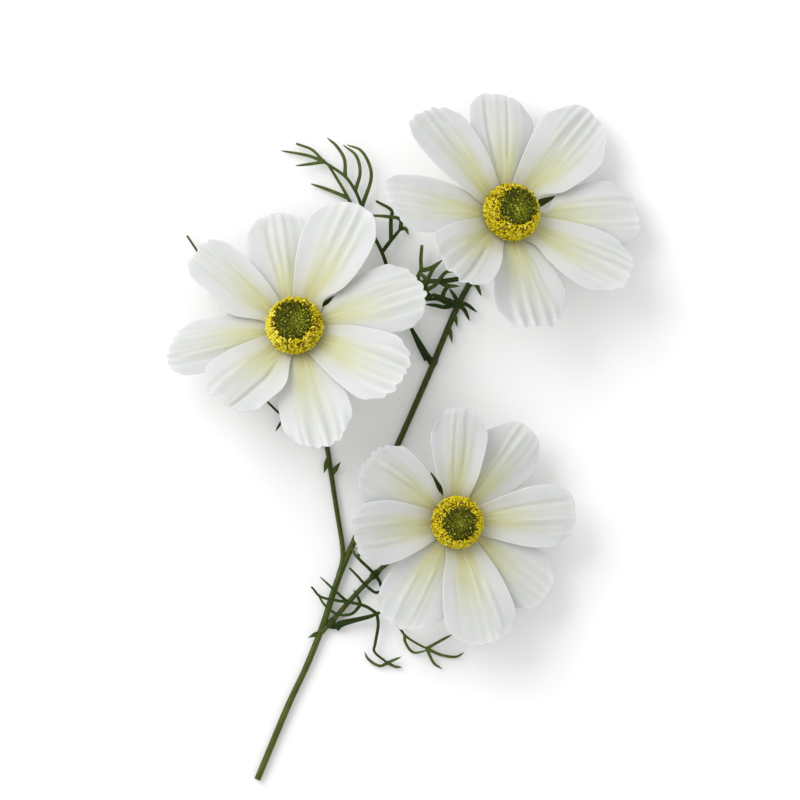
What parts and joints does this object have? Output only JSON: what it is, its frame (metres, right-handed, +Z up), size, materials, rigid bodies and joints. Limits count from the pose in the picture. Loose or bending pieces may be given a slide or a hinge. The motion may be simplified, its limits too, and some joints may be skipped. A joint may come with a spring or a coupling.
{
  "type": "cosmos flower spray",
  "caption": "Cut cosmos spray with white, broad-petalled open blooms on one forked green stem with thread-like leaves, lying flat with its blooms facing up.",
  "frame": {"origin": "centre of the footprint, on the surface that the spray lies on", "axes": "+Z up out of the surface, the way the blooms face; +Y from the cut end of the stem towards the uppermost bloom; +X to the right as the blooms are looked at"},
  "size_m": [0.1508, 0.2205, 0.0487],
  "materials": {
    "stem": "dark olive green, satin",
    "leaf": "dark green, satin",
    "calyx": "olive green, matte",
    "petal": "white, finely woven, with a soft cream streak from the root",
    "florets": "yellow grains over a dark ground",
    "buds": "dark olive grains with yellow tips"
  },
  "bodies": {
    "root": {"branching_stem": "stem", "frond_long": "leaf", "frond_near_upper_bloom": "leaf", "frond_behind_left_bloom": "leaf", "frond_lower": "leaf", "frond_on_lower_branch": "leaf", "upper_bloom_petals": "petal", "upper_bloom_florets": "florets", "upper_bloom_buds": "buds", "upper_bloom_calyx": "calyx", "left_bloom_petals": "petal", "left_bloom_florets": "florets", "left_bloom_buds": "buds", "left_bloom_calyx": "calyx", "lower_bloom_petals": "petal", "lower_bloom_florets": "florets", "lower_bloom_buds": "buds", "lower_bloom_calyx": "calyx"}
  },
  "joints": []
}
